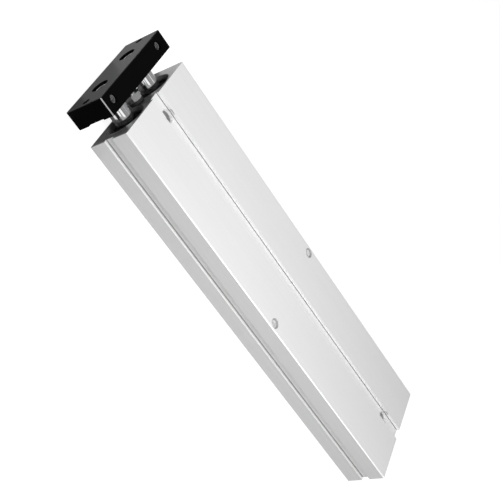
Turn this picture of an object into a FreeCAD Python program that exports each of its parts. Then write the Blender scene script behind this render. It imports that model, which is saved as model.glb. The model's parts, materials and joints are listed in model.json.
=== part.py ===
"""Twin-rod pneumatic cylinder: two parallel pistons in one extruded housing drive one front plate.

All lengths are in millimetres. X runs along the rods and points out of the housing, Z is up, and
the origin is under the middle of the retracted cylinder, on the face that it lies on. Inside each
piece's own frame, x = 0 is the rod-end face of the housing and z = 0 is the height of the rods.
"""
import FreeCAD, Part
import Sketcher
import math
import os

SIZES = {
    # Drive
    "stroke": 300.0,
    "bore_diameter": 32.0,
    "rod_diameter": 16.0,
    # Walls of the housing
    "web": 12.0,
    "side_wall": 11.0,
    "roof_wall": 3.0,
    "edge_break": 0.6,
    "bore_mouth_chamfer": 0.8,
    # Sensor slots along the housing
    "wide_slot_width": 10.0,
    "side_slot_width": 8.0,
    "slot_lip": 2.1,
    "slot_undercut": 0.8,
    "slot_undercut_height": 0.9,
    # Counterbored fixing holes in the web
    "fixing_inset": 18.5,
    "fixing_to_port": 7.2,
    "fixing_diameter": 7.0,
    "fixing_seat": 2.0,
    "fixing_head_depth": 9.5,
    # Threaded holes near the long edges, half way along
    "edge_tap_station": 46.0,
    "edge_tap_inset": 6.0,
    "edge_tap_core": 6.8,
    "edge_tap_chamfer": 1.0,
    "edge_tap_depth": 11.0,
    # Air ports and the drilled ways between the bores
    "port_core": 8.8,
    "port_chamfer": 0.8,
    "port_floor": 2.0,
    "airway_diameter": 5.0,
    # Fits
    "running_clearance": 0.05,
    "seat_clearance": 0.03,
    "side_clearance": 0.1,
    "end_clearance": 0.5,
    # Retaining rings
    "ring_recess": 3.0,
    "ring_groove_depth": 0.85,
    "ring_thickness": 1.2,
    "ring_width": 2.6,
    "ring_opening": 12.0,
    "lug_diameter": 4.0,
    "lug_hole_diameter": 2.0,
    "lug_inset": 4.4,
    # Rod covers and head covers
    "nose_length": 7.0,
    "nose_clearance": 2.2,
    "o_ring_cord": 2.2,
    "o_ring_room": 0.6,
    "o_ring_land": 2.0,
    "cover_edge": 0.5,
    "head_cover_land": 3.7,
    "dish_rim": 7.0,
    "dish_depth": 1.5,
    # Rod guidance and sealing
    "guide_clearance": 0.5,
    "seal_lip": 2.0,
    "rod_seal_length": 5.0,
    "rod_seal_wall": 4.0,
    "seal_notch": 1.6,
    "bush_land": 2.6,
    "bush_wall": 2.0,
    "bush_length": 22.0,
    # Pistons
    "piston_clearance": 0.4,
    "piston_land": 1.5,
    "piston_tail": 1.6,
    "piston_seal_width": 4.2,
    "piston_seal_depth": 3.6,
    "magnet_width": 3.2,
    "magnet_depth": 3.0,
    "wear_ring_width": 5.0,
    "wear_ring_depth": 1.6,
    "spigot_diameter": 10.0,
    "piston_nut_flats": 17.0,
    "piston_nut_height": 5.0,
    "nut_clearance": 0.7,
    "nut_sink": 1.0,
    # Bumpers
    "bumper_clearance": 3.5,
    "front_bumper_thickness": 2.7,
    "rear_bumper_stand": 2.5,
    "rear_bumper_seat": 1.5,
    # Front plate
    "plate_step": 1.0,
    "plate_thickness": 16.0,
    "plate_corner": 0.6,
    "plate_edge": 0.4,
    "channel_depth": 1.0,
    # Threaded holes in the front plate
    "front_tap_inset": 5.0,
    "front_tap_core": 5.0,
    "front_tap_chamfer": 0.7,
    "side_tap_inset": 11.0,
    "side_tap_core": 6.8,
    "side_tap_chamfer": 0.8,
    "side_tap_depth": 11.0,
    # Socket screws that hold the plate to the rods
    "screw_diameter": 8.0,
    "screw_length": 25.0,
    "screw_hole_clearance": 0.5,
    "screw_head_diameter": 13.0,
    "screw_head_height": 8.0,
    "screw_head_sink": 2.0,
    "screw_head_clearance": 0.5,
    "screw_key_flats": 6.0,
    "screw_key_depth": 4.0,
    "rod_tap_run_out": 2.8,
    # Stop bolt with its lock nut and pad
    "adjuster_diameter": 8.0,
    "adjuster_flats": 13.0,
    "adjuster_head_height": 5.3,
    "stop_travel": 2.5,
    "stop_reserve": 0.4,
    "stop_run_out": 0.9,
    "stop_skin": 2.5,
    "lock_nut_flats": 13.0,
    "lock_nut_height": 4.0,
    "pad_diameter": 12.0,
    "pad_thickness": 3.0,
    "pad_clearance": 0.3,
    "pad_stem_diameter": 4.0,
    "pad_stem_length": 3.0,
    # Broken edges of screws, bolts and nuts
    "tip_chamfer": 0.8,
    "hexagon_crown": 0.3,
}

ROOT_THREE = math.sqrt(3)
SHEET = "Sizes"
PAST_FACE = 1.0
SIDES = {"left": 1, "right": -1}

doc = FreeCAD.newDocument("twin_rod_cylinder")
sheet = doc.addObject("Spreadsheet::Sheet", SHEET)
for row, (alias, number) in enumerate(SIZES.items(), start=1):
    sheet.set(f"A{row}", alias)
    sheet.set(f"B{row}", str(number))
    sheet.setAlias(f"B{row}", alias)
doc.recompute()


class Size:
    """A length that carries its formula in the sheet's names and its present value."""

    def __init__(self, formula, value):
        self.formula = formula
        self.value = value

    def joined(self, sign, other, value):
        return Size(f"({self.formula} {sign} {as_size(other).formula})", value)

    def __add__(self, other):
        return self.joined("+", other, self.value + as_size(other).value)

    def __sub__(self, other):
        return self.joined("-", other, self.value - as_size(other).value)

    def __mul__(self, other):
        return self.joined("*", other, self.value * as_size(other).value)

    def __truediv__(self, other):
        return self.joined("/", other, self.value / as_size(other).value)

    def __neg__(self):
        return Size(f"(-1 * {self.formula})", -self.value)


def as_size(length):
    """Takes a plain number as a size of that fixed value."""
    return length if isinstance(length, Size) else Size(repr(length), float(length))


def size(alias):
    """Reads one driving dimension from the sheet."""
    return Size(f"{SHEET}.{alias}", SIZES[alias])


BORE_R = size("bore_diameter") / 2
ROD_R = size("rod_diameter") / 2
ROD_Y = BORE_R + size("web") / 2
HALF_WIDTH = ROD_Y + BORE_R + size("side_wall")
HALF_HEIGHT = BORE_R + size("roof_wall")

# Lengths of the pieces that are stacked in each bore
RING_GROOVE_WIDTH = size("ring_thickness") + size("side_clearance")
O_RING_GROOVE_WIDTH = size("o_ring_cord") + size("o_ring_room")
SEAL_POCKET_LENGTH = size("rod_seal_length") + size("side_clearance")
ROD_COVER_LENGTH = size("seal_lip") + SEAL_POCKET_LENGTH + size("bush_land") + size("bush_length")
HEAD_COVER_LENGTH = size("nose_length") + size("o_ring_land") + O_RING_GROOVE_WIDTH + size("head_cover_land")
PISTON_RINGS = size("piston_seal_width") + size("magnet_width") + size("wear_ring_width")
PISTON_LENGTH = PISTON_RINGS + size("piston_land") * 4 + size("piston_tail")

# Stations along the housing, each a depth behind its rod-end face
COVER_DEPTH = size("ring_recess") + RING_GROOVE_WIDTH
ROD_COVER_BACK = COVER_DEPTH + ROD_COVER_LENGTH
PISTON_FRONT = ROD_COVER_BACK + size("end_clearance") + size("front_bumper_thickness") + size("stroke")
PISTON_BACK = PISTON_FRONT + PISTON_LENGTH
HEAD_COVER_FRONT = PISTON_BACK + size("end_clearance") + size("rear_bumper_stand")
HEAD_COVER_BACK = HEAD_COVER_FRONT + HEAD_COVER_LENGTH
HOUSING_LENGTH = HEAD_COVER_BACK + COVER_DEPTH
FRONT_PORT = ROD_COVER_BACK - size("nose_length") / 2
REAR_PORT = HEAD_COVER_FRONT + size("nose_length") / 2

# Stations in front of that face: the stop's pieces, one behind the other, carry the plate's place
ADJUSTER_FACE = size("pad_clearance") + size("pad_thickness")
ADJUSTER_SHOULDER = ADJUSTER_FACE + size("adjuster_head_height")
LOCK_NUT_BACK = ADJUSTER_SHOULDER + size("stop_travel") + size("stop_reserve")
CHANNEL_FLOOR = LOCK_NUT_BACK + size("lock_nut_height")
PLATE_BACK = CHANNEL_FLOOR - size("channel_depth")
PLATE_FRONT = PLATE_BACK + size("plate_thickness")
STOP_TAP_END = PLATE_FRONT - size("stop_skin")
ADJUSTER_TIP = STOP_TAP_END - size("stop_run_out") - size("stop_travel")
SCREW_TOP = PLATE_FRONT - size("screw_head_sink")
SCREW_SEAT = SCREW_TOP - size("screw_head_height")
SCREW_TIP = SCREW_SEAT - size("screw_length")

# The rod-end face and the rods' height, seen from the origin of the whole part
FACE_X = (HOUSING_LENGTH - PLATE_FRONT) / 2
AXIS_Z = HALF_HEIGHT

# Radii that several pieces share
RING_GROOVE_R = BORE_R + size("ring_groove_depth")
COVER_R = BORE_R - size("running_clearance")
NOSE_R = BORE_R - size("nose_clearance")
O_RING_FLOOR = COVER_R - size("o_ring_cord") - size("seat_clearance")
PISTON_R = BORE_R - size("piston_clearance")
SLEEVE_R = BORE_R - size("running_clearance")
ROD_SLEEVE_R = ROD_R + size("running_clearance")
BUSH_R = ROD_R + size("bush_wall")
BUSH_SEAT_R = BUSH_R + size("seat_clearance")
ROD_SEAL_R = ROD_R + size("rod_seal_wall")
ROD_HOLE_R = ROD_R + size("guide_clearance")
BUMPER_R = BORE_R - size("bumper_clearance")
SPIGOT_R = size("spigot_diameter") / 2
SCREW_R = size("screw_diameter") / 2
ADJUSTER_R = size("adjuster_diameter") / 2

bodies = []


def new_body(label, side_y=0):
    """Starts a piece whose frame stands on the rod-end face, at the rods' height."""
    body = doc.addObject("PartDesign::Body", label)
    body.Label = label
    body.setExpression("Placement.Base.x", FACE_X.formula)
    body.setExpression("Placement.Base.y", as_size(side_y).formula)
    body.setExpression("Placement.Base.z", AXIS_Z.formula)
    bodies.append(body)
    return body


def plane(body, role):
    """Finds one of the body's own origin planes."""
    return next(item for item in body.Origin.OriginFeatures if item.Role == role)


def new_sketch(body, role, shift=(0, 0, 0)):
    """Adds a sketch on an origin plane, shifted along the sketch's own axes."""
    sketch = body.newObject("Sketcher::SketchObject", f"{body.Name}_sketch")
    sketch.AttachmentSupport = (plane(body, role), "")
    sketch.MapMode = "FlatFace"
    for axis, distance in zip("xyz", shift):
        sketch.setExpression(f"AttachmentOffset.Base.{axis}", as_size(distance).formula)
    return sketch


def pin_point(sketch, edge, end, across, up):
    """Holds the end of an edge at its two distances from the sketch's origin."""
    for kind, distance, axis in (("DistanceX", across, -2), ("DistanceY", up, -1)):
        length = as_size(distance)
        if length.value == 0:
            sketch.addConstraint(Sketcher.Constraint("PointOnObject", edge, end, axis))
            continue
        number = sketch.addConstraint(Sketcher.Constraint(kind, -1, 1, edge, end, length.value))
        sketch.setExpression(f"Constraints[{number}]", length.formula)


def draw_outline(sketch, points):
    """Draws a closed run of straight lines through points given as pairs of sizes."""
    start = sketch.GeometryCount
    count = len(points)
    corners = [FreeCAD.Vector(as_size(x).value, as_size(y).value, 0) for x, y in points]
    for index in range(count):
        sketch.addGeometry(Part.LineSegment(corners[index], corners[(index + 1) % count]), False)
    for index in range(count):
        following = start + (index + 1) % count
        sketch.addConstraint(Sketcher.Constraint("Coincident", start + index, 2, following, 1))
    for index, (across, up) in enumerate(points):
        pin_point(sketch, start + index, 1, across, up)


def draw_circle(sketch, across, up, radius):
    """Draws one circle whose centre and radius follow their sizes."""
    centre = FreeCAD.Vector(as_size(across).value, as_size(up).value, 0)
    upright = FreeCAD.Vector(0, 0, 1)
    edge = sketch.addGeometry(Part.Circle(centre, upright, radius.value), False)
    pin_point(sketch, edge, 3, across, up)
    number = sketch.addConstraint(Sketcher.Constraint("Radius", edge, radius.value))
    sketch.setExpression(f"Constraints[{number}]", radius.formula)


def draw_hexagon(sketch, flats):
    """Draws a hexagon with two flats facing along the sketch's horizontal axis."""
    corner = flats / ROOT_THREE
    points = [(flats / 2, corner / 2), (0, corner), (-flats / 2, corner / 2)]
    points += [(-flats / 2, -corner / 2), (0, -corner), (flats / 2, -corner / 2)]
    draw_outline(sketch, points)


def box_points(low_x, low_y, high_x, high_y):
    """Lists the corners of an upright rectangle."""
    return [(low_x, low_y), (high_x, low_y), (high_x, high_y), (low_x, high_y)]


def cut_corner_points(half_x, half_y, cut):
    """Lists the corners of a centred rectangle whose four corners are cut off."""
    points = [(half_x, half_y - cut), (half_x - cut, half_y), (-half_x + cut, half_y)]
    points += [(-half_x, half_y - cut), (-half_x, -half_y + cut), (-half_x + cut, -half_y)]
    return points + [(half_x - cut, -half_y), (half_x, -half_y + cut)]


def pad(body, sketch, length, reversed_way=False):
    """Pads a sketch along its plane's normal, or against it."""
    feature = body.newObject("PartDesign::Pad", f"{body.Name}_pad")
    feature.Profile = sketch
    feature.setExpression("Length", length.formula)
    feature.Reversed = reversed_way
    return feature


def pocket(body, sketch, length=None, reversed_way=False):
    """Cuts a sketch against its plane's normal, to a depth or right through."""
    feature = body.newObject("PartDesign::Pocket", f"{body.Name}_pocket")
    feature.Profile = sketch
    feature.Reversed = reversed_way
    if length is None:
        feature.Type = "ThroughAll"
    else:
        feature.setExpression("Length", length.formula)
    return feature


def turn(body, sketch, kind="PartDesign::Revolution"):
    """Turns a half section about the sketch's horizontal axis, to add or to cut."""
    feature = body.newObject(kind, f"{body.Name}_turned")
    feature.Profile = sketch
    feature.ReferenceAxis = (sketch, ["H_Axis"])
    feature.Angle = 360
    return feature


def mirror(body, features, role):
    """Repeats features on the other side of an origin plane and ends the body with them."""
    feature = body.newObject("PartDesign::Mirrored", f"{body.Name}_mirrored")
    feature.Originals = features
    feature.MirrorPlane = (plane(body, role), [""])
    body.Tip = feature
    return feature


def break_hexagon(body, flats, face, inward, shift_y=0):
    """Turns the corners off one end of a hexagon, at thirty degrees to its face."""
    sketch = new_sketch(body, "XY_Plane", (0, shift_y, 0))
    inner = flats / 2 - size("hexagon_crown")
    outer = flats / ROOT_THREE + PAST_FACE
    drop = (outer - inner) / ROOT_THREE
    draw_outline(sketch, [(face, inner), (face, outer), (face + drop * inward, outer)])
    return turn(body, sketch, "PartDesign::Groove")


def drill(body, sketch, diameter, depth=None, cut=None, cut_diameter=None, cut_depth=None):
    """Drills the circles of a sketch, with a counterbore or countersink at their mouths."""
    doc.recompute()
    feature = body.newObject("PartDesign::Hole", f"{body.Name}_hole")
    feature.Profile = sketch
    doc.recompute()
    feature.Threaded = False
    feature.DrillPoint = "Flat"
    feature.DepthType = "ThroughAll" if depth is None else "Dimension"
    feature.setExpression("Diameter", diameter.formula)
    if depth is not None:
        feature.setExpression("Depth", depth.formula)
    if cut is not None:
        feature.HoleCutType = cut
        feature.HoleCutCustomValues = True
        feature.setExpression("HoleCutDiameter", cut_diameter.formula)
    if cut == "Counterbore":
        feature.setExpression("HoleCutDepth", cut_depth.formula)
    if cut == "Countersink":
        feature.HoleCutCountersinkAngle = 90
    return feature


def turned_piece(label, points, side_y=0):
    """Makes one turned piece from half its section, as pairs of x and radius."""
    body = new_body(label, side_y)
    sketch = new_sketch(body, "XY_Plane")
    draw_outline(sketch, points)
    turn(body, sketch)
    return body


def turned_pair(label, points):
    """Makes the same turned piece round both rods, as two solids of one node."""
    body = new_body(label)
    sketch = new_sketch(body, "XY_Plane", (0, ROD_Y, 0))
    draw_outline(sketch, points)
    mirror(body, [turn(body, sketch)], "XZ_Plane")
    return body


# Housing

def slot_points(half_mouth, face):
    """Lists a slot's section: a mouth between two lips, with an undercut under each lip."""
    half_floor = half_mouth + size("slot_undercut")
    mouth = face + PAST_FACE
    lip = face - size("slot_lip")
    floor = lip - size("slot_undercut_height")
    right = [(half_mouth, mouth), (half_mouth, lip), (half_floor, lip), (half_floor, floor)]
    left = [(-across, up) for across, up in reversed(right)]
    return right + left


def make_housing():
    """Extrudes the twin-bore section, then cuts slots, grooves, fixing holes and ports."""
    body = new_body("housing")
    section = new_sketch(body, "YZ_Plane")
    draw_outline(section, cut_corner_points(HALF_WIDTH, HALF_HEIGHT, size("edge_break")))
    for side in SIDES.values():
        draw_circle(section, ROD_Y * side, 0, BORE_R)
    pad(body, section, HOUSING_LENGTH, reversed_way=True)

    wide_slot = new_sketch(body, "YZ_Plane")
    draw_outline(wide_slot, slot_points(size("wide_slot_width") / 2, HALF_HEIGHT))
    mirror(body, [pocket(body, wide_slot)], "XY_Plane")
    side_slot = new_sketch(body, "YZ_Plane")
    side_section = slot_points(size("side_slot_width") / 2, HALF_WIDTH)
    draw_outline(side_slot, [(up, across) for across, up in side_section])
    pocket(body, side_slot)

    cut_ring_grooves(body)
    drill_fixing_holes(body)
    drill_air_ports(body)
    return body


def cut_ring_grooves(body):
    """Cuts the retaining-ring grooves and the lead-in chamfers at both ends of each bore."""
    rings = new_sketch(body, "XY_Plane", (0, ROD_Y, 0))
    inside = BORE_R - PAST_FACE
    front = (-size("ring_recess"), -COVER_DEPTH)
    rear = (-HEAD_COVER_BACK, -HEAD_COVER_BACK - RING_GROOVE_WIDTH)
    for near, far in (front, rear):
        draw_outline(rings, box_points(near, inside, far, RING_GROOVE_R))
    grooves = turn(body, rings, "PartDesign::Groove")
    chamfers = new_sketch(body, "XY_Plane", (0, ROD_Y, 0))
    chamfer = size("bore_mouth_chamfer")
    for face, inward in ((0, -1), (-HOUSING_LENGTH, 1)):
        corner = as_size(face)
        points = [(corner, BORE_R), (corner, BORE_R + chamfer), (corner + chamfer * inward, BORE_R)]
        draw_outline(chamfers, points)
    mouths = turn(body, chamfers, "PartDesign::Groove")
    mirror(body, [grooves, mouths], "XZ_Plane")


def drill_fixing_holes(body):
    """Drills the counterbored holes between the bores and the blind ones near the edges."""
    fixing = new_sketch(body, "XY_Plane", (0, 0, HALF_HEIGHT))
    for station in (-size("fixing_inset"), -REAR_PORT + size("fixing_to_port")):
        draw_circle(fixing, station, 0, size("fixing_diameter") / 2)
    holes = drill(body, fixing, size("fixing_diameter"), None, "Counterbore",
                  size("fixing_diameter") + size("fixing_seat") * 2, size("fixing_head_depth"))
    doc.recompute()
    mirror(body, [holes], "XY_Plane")

    taps = new_sketch(body, "XY_Plane", (0, 0, HALF_HEIGHT))
    station = -size("edge_tap_station") - size("stroke") / 2
    for side in SIDES.values():
        across = (HALF_WIDTH - size("edge_tap_inset")) * side
        draw_circle(taps, station, across, size("edge_tap_core") / 2)
    drill(body, taps, size("edge_tap_core"), size("edge_tap_depth"), "Countersink",
          size("edge_tap_core") + size("edge_tap_chamfer") * 2)


def drill_air_ports(body):
    """Drills both ports from the plain narrow side, and their airways on into the far bore."""
    for part_of_port in ("thread", "airway"):
        sketch = new_sketch(body, "XZ_Plane", (0, 0, HALF_WIDTH))
        for station in (-FRONT_PORT, -REAR_PORT):
            draw_circle(sketch, station, 0, size("airway_diameter") / 2)
        if part_of_port == "thread":
            drill(body, sketch, size("port_core"), size("side_wall") - size("port_floor"),
                  "Countersink", size("port_core") + size("port_chamfer") * 2)
        else:
            pocket(body, sketch, HALF_WIDTH + ROD_Y)


# Covers, seals and rings at the ends of the bores

def cover_rim(shoulder, outward):
    """Lists a cover's rim from its nose to its outer face, with the seal ring's groove."""
    near = shoulder + size("o_ring_land") * outward
    far = near + O_RING_GROOVE_WIDTH * outward
    return [(shoulder, NOSE_R), (shoulder, COVER_R), (near, COVER_R), (near, O_RING_FLOOR),
            (far, O_RING_FLOOR), (far, COVER_R)]


ROD_COVER_SHOULDER = -ROD_COVER_BACK + size("nose_length")
HEAD_COVER_SHOULDER = -HEAD_COVER_FRONT - size("nose_length")
SEAL_FRONT = -COVER_DEPTH - size("seal_lip")
SEAL_POCKET_END = SEAL_FRONT - SEAL_POCKET_LENGTH
BUSH_FRONT = -ROD_COVER_BACK + size("bush_length")
SEAL_POCKET_R = ROD_SEAL_R + size("seat_clearance")


def make_rod_covers():
    """Turns the two covers that carry the rod seals and bushes."""
    edge = size("cover_edge")
    outer = [(-ROD_COVER_BACK, NOSE_R)] + cover_rim(ROD_COVER_SHOULDER, 1)
    mouth = [(-COVER_DEPTH - edge, COVER_R), (-COVER_DEPTH, COVER_R - edge),
             (-COVER_DEPTH, ROD_HOLE_R + edge), (-COVER_DEPTH - edge, ROD_HOLE_R)]
    inner = [(SEAL_FRONT, ROD_HOLE_R), (SEAL_FRONT, SEAL_POCKET_R),
             (SEAL_POCKET_END, SEAL_POCKET_R), (SEAL_POCKET_END, ROD_HOLE_R),
             (BUSH_FRONT, ROD_HOLE_R), (BUSH_FRONT, BUSH_SEAT_R), (-ROD_COVER_BACK, BUSH_SEAT_R)]
    for name, side in SIDES.items():
        turned_piece(f"rod_cover_{name}", outer + mouth + inner, ROD_Y * side)


def make_head_covers():
    """Turns the two blind covers that close the rear of the bores."""
    seat = -HEAD_COVER_FRONT - size("rear_bumper_seat")
    seat_r = BUMPER_R + size("seat_clearance")
    dish = -HEAD_COVER_BACK + size("dish_depth")
    dish_r = COVER_R - size("dish_rim")
    edge = size("cover_edge")
    points = [(seat, 0), (seat, seat_r), (-HEAD_COVER_FRONT, seat_r), (-HEAD_COVER_FRONT, NOSE_R)]
    points += cover_rim(HEAD_COVER_SHOULDER, -1)
    points += [(-HEAD_COVER_BACK + edge, COVER_R), (-HEAD_COVER_BACK, COVER_R - edge)]
    points += [(-HEAD_COVER_BACK, dish_r), (dish, dish_r), (dish, 0)]
    for name, side in SIDES.items():
        turned_piece(f"head_cover_{name}", points, ROD_Y * side)


def make_o_rings(label, shoulder, outward):
    """Turns the static seal rings of one pair of covers, drawn as they sit compressed."""
    body = new_body(label)
    sketch = new_sketch(body, "XY_Plane", (0, ROD_Y, 0))
    middle = shoulder + (size("o_ring_land") + O_RING_GROOVE_WIDTH / 2) * outward
    cord_r = size("o_ring_cord") / 2
    draw_circle(sketch, middle, COVER_R - cord_r, cord_r)
    mirror(body, [turn(body, sketch)], "XZ_Plane")


def make_rod_seals():
    """Turns the lip seals on the rods, open towards the pressure side."""
    back = SEAL_FRONT - size("rod_seal_length")
    middle = (ROD_SLEEVE_R + ROD_SEAL_R) / 2
    points = [(SEAL_FRONT, ROD_SLEEVE_R), (SEAL_FRONT, ROD_SEAL_R), (back, ROD_SEAL_R),
              (back + size("seal_notch"), middle), (back, ROD_SLEEVE_R)]
    turned_pair("rod_seals", points)


def make_rod_bushes():
    """Turns the bearing bushes that guide the rods."""
    turned_pair("rod_bushes", box_points(-ROD_COVER_BACK, ROD_SLEEVE_R, BUSH_FRONT, BUSH_R))


def make_retaining_rings(label, seat, towards_rear):
    """Cuts one pair of spring rings: open below, with two drilled lugs for the pliers."""
    body = new_body(label)
    shift = (ROD_Y, 0, seat)
    outer = RING_GROOVE_R - size("side_clearance")
    ring = new_sketch(body, "YZ_Plane", shift)
    draw_circle(ring, 0, 0, outer)
    draw_circle(ring, 0, 0, outer - size("ring_width"))
    ring_pad = pad(body, ring, size("ring_thickness"), towards_rear)
    opening = new_sketch(body, "YZ_Plane", shift)
    half = size("ring_opening") / 2
    draw_outline(opening, box_points(-half, -outer - PAST_FACE, half, -outer / 2))
    gap = pocket(body, opening, size("ring_thickness"), not towards_rear)
    lugs = new_sketch(body, "YZ_Plane", shift)
    for side in SIDES.values():
        across = (half + size("lug_hole_diameter") / 2) * side
        drop = size("lug_inset") - BORE_R
        draw_circle(lugs, across, drop, size("lug_diameter") / 2)
        draw_circle(lugs, across, drop, size("lug_hole_diameter") / 2)
    lug_pad = pad(body, lugs, size("ring_thickness"), towards_rear)
    mirror(body, [ring_pad, gap, lug_pad], "XZ_Plane")


# Rods and pistons

GROOVES = {
    "piston_seals": (size("piston_seal_width"), size("piston_seal_depth")),
    "piston_magnets": (size("magnet_width"), size("magnet_depth")),
    "wear_rings": (size("wear_ring_width"), size("wear_ring_depth")),
}


def groove_starts():
    """Places the piston's grooves one behind the other, a land apart."""
    start = -PISTON_FRONT - size("piston_land")
    starts = {}
    for name, (width, _) in GROOVES.items():
        starts[name] = start
        start = start - width - size("piston_land")
    return starts


NUT_SEAT = -PISTON_BACK + size("nut_sink") + size("piston_nut_height")


def make_pistons():
    """Turns the pistons with their ring grooves, and the rings that fill the grooves."""
    spigot_hole = SPIGOT_R + size("running_clearance")
    recess_r = size("piston_nut_flats") / ROOT_THREE + size("nut_clearance")
    points = [(-PISTON_FRONT, spigot_hole), (-PISTON_FRONT, PISTON_R)]
    for name, start in groove_starts().items():
        width, depth = GROOVES[name]
        points += [(start, PISTON_R), (start, PISTON_R - depth),
                   (start - width, PISTON_R - depth), (start - width, PISTON_R)]
    points += [(-PISTON_BACK, PISTON_R), (-PISTON_BACK, recess_r), (NUT_SEAT, recess_r),
               (NUT_SEAT, spigot_hole)]
    for name, side in SIDES.items():
        turned_piece(f"piston_{name}", points, ROD_Y * side)
    for name, start in groove_starts().items():
        make_groove_rings(name, start)


def make_groove_rings(name, start):
    """Turns the pair of rings that one groove of the pistons holds."""
    width, depth = GROOVES[name]
    front = start - size("side_clearance")
    back = start - width + size("side_clearance")
    floor = PISTON_R - depth + size("seat_clearance")
    top = PISTON_R if name == "piston_magnets" else SLEEVE_R
    points = box_points(back, floor, front, top)
    if name == "piston_seals":
        middle = (floor + top) / 2
        notch = (front - back) / 4
        points = [(back, floor), (front, floor), (front - notch, middle), (front, top),
                  (back, top), (back + notch, middle)]
    turned_pair(name, points)


def make_piston_rods():
    """Turns the rods: tapped at the plate, with a spigot through the piston."""
    tap_end = SCREW_TIP - size("rod_tap_run_out")
    spigot_end = NUT_SEAT - size("piston_nut_height")
    tip = size("tip_chamfer")
    points = [(CHANNEL_FLOOR, SCREW_R), (CHANNEL_FLOOR, ROD_R), (-PISTON_FRONT, ROD_R),
              (-PISTON_FRONT, SPIGOT_R), (spigot_end + tip, SPIGOT_R), (spigot_end, SPIGOT_R - tip),
              (spigot_end, 0), (tap_end, 0), (tap_end, SCREW_R)]
    for name, side in SIDES.items():
        turned_piece(f"piston_rod_{name}", points, ROD_Y * side)


def make_piston_nuts():
    """Makes the hexagon nuts that clamp the pistons to the rods."""
    body = new_body("piston_nuts")
    sketch = new_sketch(body, "YZ_Plane", (ROD_Y, 0, NUT_SEAT))
    flats = size("piston_nut_flats")
    draw_hexagon(sketch, flats)
    draw_circle(sketch, 0, 0, SPIGOT_R + size("running_clearance"))
    nut = pad(body, sketch, size("piston_nut_height"), reversed_way=True)
    crown = break_hexagon(body, flats, NUT_SEAT - size("piston_nut_height"), 1, ROD_Y)
    mirror(body, [nut, crown], "XZ_Plane")


def make_bumpers():
    """Turns the cushions in front of the pistons and on the head covers."""
    face = -PISTON_FRONT
    points = box_points(face, ROD_HOLE_R, face + size("front_bumper_thickness"), BUMPER_R)
    turned_pair("front_bumpers", points)
    back = -HEAD_COVER_FRONT - size("rear_bumper_seat")
    front = -HEAD_COVER_FRONT + size("rear_bumper_stand")
    turned_pair("rear_bumpers", box_points(back, 0, front, BUMPER_R))


# Front plate, its screws and the stop bolt

def make_front_plate():
    """Mills the plate: cut corners, a channel for the rods, screw seats and threaded holes."""
    body = new_body("front_plate")
    half_width = HALF_WIDTH - size("plate_step")
    half_height = HALF_HEIGHT - size("plate_step")
    block = new_sketch(body, "YZ_Plane", (0, 0, PLATE_BACK))
    draw_outline(block, cut_corner_points(half_width, half_height, size("plate_corner")))
    slab = pad(body, block, size("plate_thickness"))
    doc.recompute()
    rims = [f"Edge{number}" for number, edge in enumerate(slab.Shape.Edges, start=1)
            if edge.BoundBox.XLength < size("plate_edge").value]
    chamfer = body.newObject("PartDesign::Chamfer", "front_plate_chamfer")
    chamfer.Base = (slab, rims)
    chamfer.setExpression("Size", size("plate_edge").formula)

    channel = new_sketch(body, "YZ_Plane", (0, 0, PLATE_BACK))
    half_channel = ROD_R + size("side_clearance")
    draw_outline(channel, box_points(-half_width - PAST_FACE, -half_channel,
                                     half_width + PAST_FACE, half_channel))
    pocket(body, channel, size("channel_depth"), reversed_way=True)

    screws = new_sketch(body, "YZ_Plane", (0, 0, PLATE_FRONT))
    for side in SIDES.values():
        draw_circle(screws, ROD_Y * side, 0, SCREW_R)
    drill(body, screws, size("screw_diameter") + size("screw_hole_clearance") * 2, None, "Counterbore",
          size("screw_head_diameter") + size("screw_head_clearance") * 2, PLATE_FRONT - SCREW_SEAT)
    front_taps = new_sketch(body, "YZ_Plane", (0, 0, PLATE_FRONT))
    for side in SIDES.values():
        across = (half_width - size("front_tap_inset")) * side
        draw_circle(front_taps, across, 0, size("front_tap_core") / 2)
    drill(body, front_taps, size("front_tap_core"), None, "Countersink",
          size("front_tap_core") + size("front_tap_chamfer") * 2)
    side_taps = new_sketch(body, "XY_Plane", (0, 0, half_height))
    for side in SIDES.values():
        across = (half_width - size("side_tap_inset")) * side
        middle = PLATE_BACK + size("plate_thickness") / 2
        draw_circle(side_taps, middle, across, size("side_tap_core") / 2)
    drill(body, side_taps, size("side_tap_core"), size("side_tap_depth"), "Countersink",
          size("side_tap_core") + size("side_tap_chamfer") * 2)
    stop_tap = new_sketch(body, "YZ_Plane", (0, 0, CHANNEL_FLOOR))
    draw_circle(stop_tap, 0, 0, ADJUSTER_R)
    pocket(body, stop_tap, STOP_TAP_END - CHANNEL_FLOOR, reversed_way=True)


def make_plate_screws():
    """Makes the two socket screws, seated in the plate's counterbores."""
    body = new_body("plate_screws")
    shank_r = SCREW_R - size("running_clearance")
    head_r = size("screw_head_diameter") / 2
    tip = size("tip_chamfer")
    crown = size("edge_break")
    section = new_sketch(body, "XY_Plane", (0, ROD_Y, 0))
    draw_outline(section, [(SCREW_TIP, 0), (SCREW_TIP, shank_r - tip), (SCREW_TIP + tip, shank_r),
                           (SCREW_SEAT, shank_r), (SCREW_SEAT, head_r), (SCREW_TOP - crown, head_r),
                           (SCREW_TOP, head_r - crown), (SCREW_TOP, 0)])
    screw = turn(body, section)
    socket = new_sketch(body, "YZ_Plane", (ROD_Y, 0, SCREW_TOP))
    draw_hexagon(socket, size("screw_key_flats"))
    key = pocket(body, socket, size("screw_key_depth"))
    mirror(body, [screw, key], "XZ_Plane")


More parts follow.
